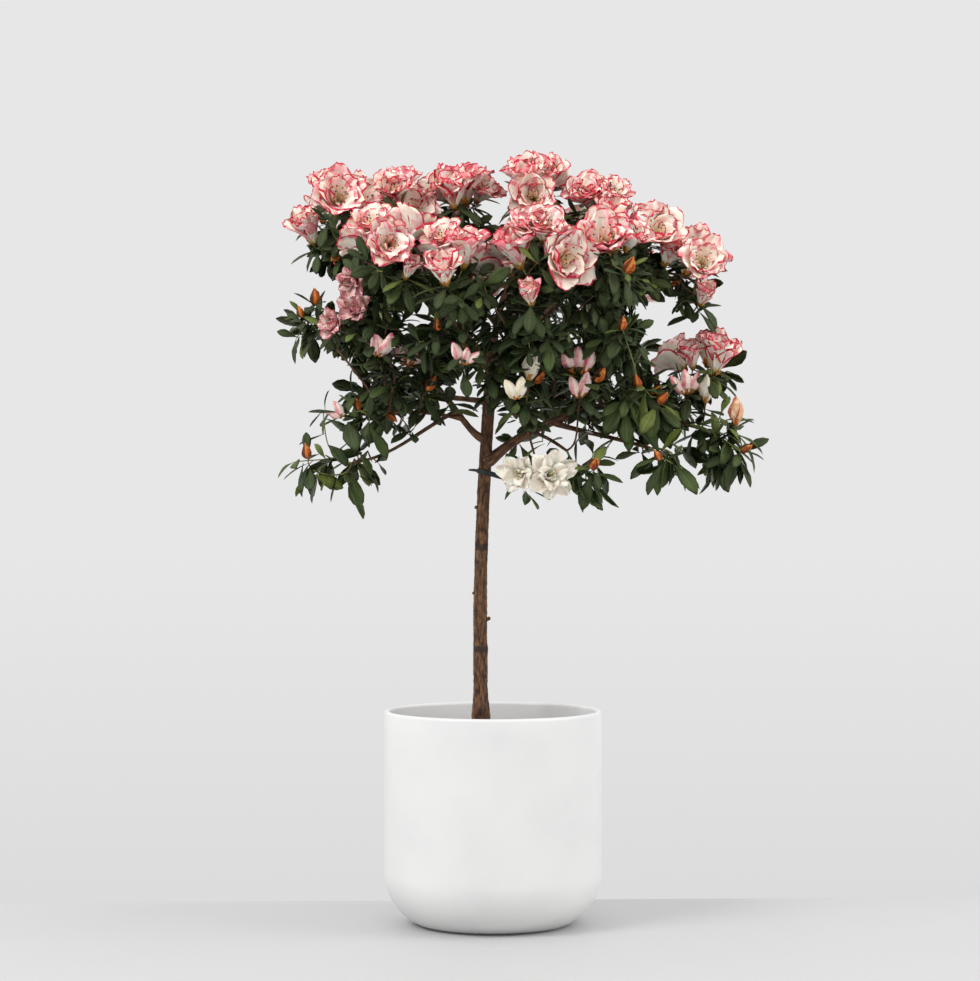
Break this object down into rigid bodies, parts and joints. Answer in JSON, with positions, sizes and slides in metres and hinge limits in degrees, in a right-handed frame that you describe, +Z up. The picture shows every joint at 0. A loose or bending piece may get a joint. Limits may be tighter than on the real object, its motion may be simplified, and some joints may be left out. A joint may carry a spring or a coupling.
{
  "type": "potted azalea shrub",
  "caption": "Azalea trained as a small standard: a wide domed crown of dark leaves and frilled red-edged blossom on one bare stem, in a plain round white ceramic pot.",
  "frame": {"origin": "middle of the pot's flat underside, on the surface that the pot stands on", "axes": "+Z up along the pot's axis; -Y is the side seen from the front, with +X to the right and the longest low sprays to both sides"},
  "size_m": [0.3904, 0.3055, 0.6124],
  "materials": {
    "pot": "satin",
    "compost": "matte",
    "bark": "matte",
    "strap": "matte",
    "leaves": "satin",
    "blossom": "matte",
    "white_blossom": "matte"
  },
  "bodies": {
    "root": {"pot": "pot", "compost": "compost", "stem": "bark", "right_bough": "bark", "right_low_bough": "bark", "right_far_bough": "bark", "right_tip_bough": "bark", "left_bough": "bark", "left_tip_bough": "bark", "left_mid_bough": "bark", "front_bough": "bark", "front_low_bough": "bark", "white_bough": "bark", "back_right_bough": "bark", "back_left_bough": "bark", "upper_left_bough": "bark", "upper_right_bough": "bark", "leader": "bark", "tie": "strap", "top_left_end": "blossom", "top_left": "blossom", "top_middle": "blossom", "top_peak": "blossom", "top_right": "blossom", "top_right_shoulder": "blossom", "top_right_end": "blossom", "front_left": "blossom", "front_middle": "blossom", "front_right": "blossom", "front_right_end": "blossom", "back_left": "blossom", "back_middle": "blossom", "back_right": "blossom", "back_right_end": "blossom", "right_lobe": "blossom", "white_flowers": "white_blossom", "middle_left_end": "leaves", "middle_left": "leaves", "middle_front_left": "leaves", "middle_front": "leaves", "middle_right": "leaves", "middle_back_left_end": "leaves", "middle_back_left": "leaves", "middle_back_right": "leaves", "middle_back_right_end": "leaves", "low_left_tip": "leaves", "low_left": "leaves", "low_left_inner": "leaves", "low_front": "leaves", "low_front_right": "leaves", "low_right": "leaves", "low_right_tip": "leaves", "low_right_under": "leaves", "hanging_front": "leaves", "low_back_left": "leaves", "low_back_right": "leaves", "low_back_right_end": "leaves"}
  },
  "joints": []
}
